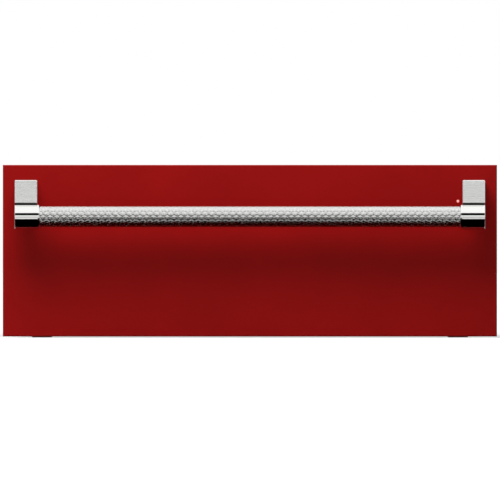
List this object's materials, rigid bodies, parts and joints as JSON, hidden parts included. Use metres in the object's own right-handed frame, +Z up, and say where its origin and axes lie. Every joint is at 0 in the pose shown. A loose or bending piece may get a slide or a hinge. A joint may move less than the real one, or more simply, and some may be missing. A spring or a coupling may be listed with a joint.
{
  "type": "warming drawer",
  "caption": "Warming drawer with a full-width red front, a round knurled bar handle on two posts, ball-bearing slides, a heated tub and hidden controls.",
  "frame": {"origin": "middle of the underside of the whole, on the surface that the feet stand on", "axes": "+X to the right seen from the front, +Y to the back, +Z up; the drawer opens towards -Y"},
  "size_m": [0.759, 0.673, 0.265],
  "materials": {
    "red_enamel": "satin red powder coat",
    "stainless_sheet": "brushed stainless steel sheet",
    "mineral_wool": "pressed mineral wool",
    "clear_plastic": "clear moulded plastic, lit pale pink",
    "knurled_steel": "stainless steel with a pressed diamond texture",
    "polished_steel": "polished stainless steel",
    "satin_steel": "satin stainless steel",
    "zinc_plate": "bright zinc plated steel",
    "galvanised_sheet": "galvanised steel sheet",
    "liner_sheet": "aluminised steel sheet",
    "black_rubber": "moulded black rubber",
    "element_sheath": "dark heat-blued alloy sheath",
    "brass_terminal": "tinned brass",
    "grey_silicone": "grey silicone",
    "bearing_steel": "bright bearing steel in a pressed steel cage",
    "black_plastic": "black moulded plastic",
    "circuit_board": "green board with dark components",
    "wire_sleeve": "black braided sleeve"
  },
  "bodies": {
    "case": {"casing_left": "galvanised_sheet", "casing_right": "galvanised_sheet", "casing_top": "galvanised_sheet", "casing_bottom": "galvanised_sheet", "rear_panel": "galvanised_sheet", "rubber_feet": "black_rubber", "face_frame": "stainless_sheet", "liner_left": "liner_sheet", "liner_right": "liner_sheet", "liner_floor": "liner_sheet", "liner_ceiling": "liner_sheet", "liner_back": "liner_sheet", "slide_brackets": "galvanised_sheet", "insulation_floor": "mineral_wool", "insulation_sides": "mineral_wool", "insulation_back": "mineral_wool", "insulation_top": "mineral_wool", "heating_element": "element_sheath", "element_clips": "zinc_plate", "element_terminals": "brass_terminal", "temperature_probe": "stainless_sheet", "thermal_cutout": "black_plastic", "slide_outer_left": "zinc_plate", "slide_outer_right": "zinc_plate", "control_fascia": "stainless_sheet", "selector_switch": "black_plastic", "switch_housing": "black_plastic", "indicator_lamp": "clear_plastic", "control_tray": "galvanised_sheet", "control_board": "circuit_board", "wiring_harness": "wire_sleeve", "cord_gland": "black_plastic"},
    "drawer": {"front_panel": "red_enamel", "front_backing": "stainless_sheet", "front_insulation": "mineral_wool", "light_pipe": "clear_plastic", "handle_bar": "knurled_steel", "handle_collars": "polished_steel", "handle_bracket_left": "satin_steel", "handle_bracket_right": "satin_steel", "handle_bolts": "zinc_plate", "drawer_tub": "stainless_sheet", "drawer_rail_left": "galvanised_sheet", "drawer_rail_right": "galvanised_sheet", "drawer_gasket": "grey_silicone", "vent_guide": "stainless_sheet", "slide_inner_left": "zinc_plate", "slide_inner_right": "zinc_plate"},
    "slide_middles": {"slide_middle_left": "zinc_plate", "slide_middle_right": "zinc_plate"},
    "outer_retainers": {"outer_retainer_left": "bearing_steel", "outer_retainer_right": "bearing_steel"},
    "inner_retainers": {"inner_retainer_left": "bearing_steel", "inner_retainer_right": "bearing_steel"},
    "vent_shutter": {"vent_slider": "stainless_sheet"},
    "selector": {"selector_knob": "black_plastic", "selector_shaft": "zinc_plate"},
    "rocker": {"power_rocker": "black_plastic"}
  },
  "joints": [
    {"name": "drawer_slide", "type": "slide", "parent": "case", "child": "drawer", "axis": [0, -1, 0], "range_m": [0, 0.43]},
    {"name": "middle_member_slide", "type": "slide", "parent": "case", "child": "slide_middles", "axis": [0, -1, 0], "range_m": [0, 0.215]},
    {"name": "outer_retainer_slide", "type": "slide", "parent": "case", "child": "outer_retainers", "axis": [0, -1, 0], "range_m": [0, 0.1075]},
    {"name": "inner_retainer_slide", "type": "slide", "parent": "case", "child": "inner_retainers", "axis": [0, -1, 0], "range_m": [0, 0.3225]},
    {"name": "vent_slide", "type": "slide", "parent": "drawer", "child": "vent_shutter", "axis": [1, 0, 0], "range_m": [0, 0.012]},
    {"name": "selector_turn", "type": "hinge", "parent": "case", "child": "selector", "pos_m": [0.2796, -0.22548, 0.2205], "axis": [0, 1, 0], "range_deg": [0, 240]},
    {"name": "rocker_tilt", "type": "hinge", "parent": "case", "child": "rocker", "pos_m": [0.2246, -0.22198, 0.2205], "axis": [0, 0, 1], "range_deg": [0, 16]}
  ],
  "couplings": [
    {"joint": "middle_member_slide", "follows": "drawer_slide", "ratio": 0.5},
    {"joint": "outer_retainer_slide", "follows": "drawer_slide", "ratio": 0.25},
    {"joint": "inner_retainer_slide", "follows": "drawer_slide", "ratio": 0.75}
  ]
}
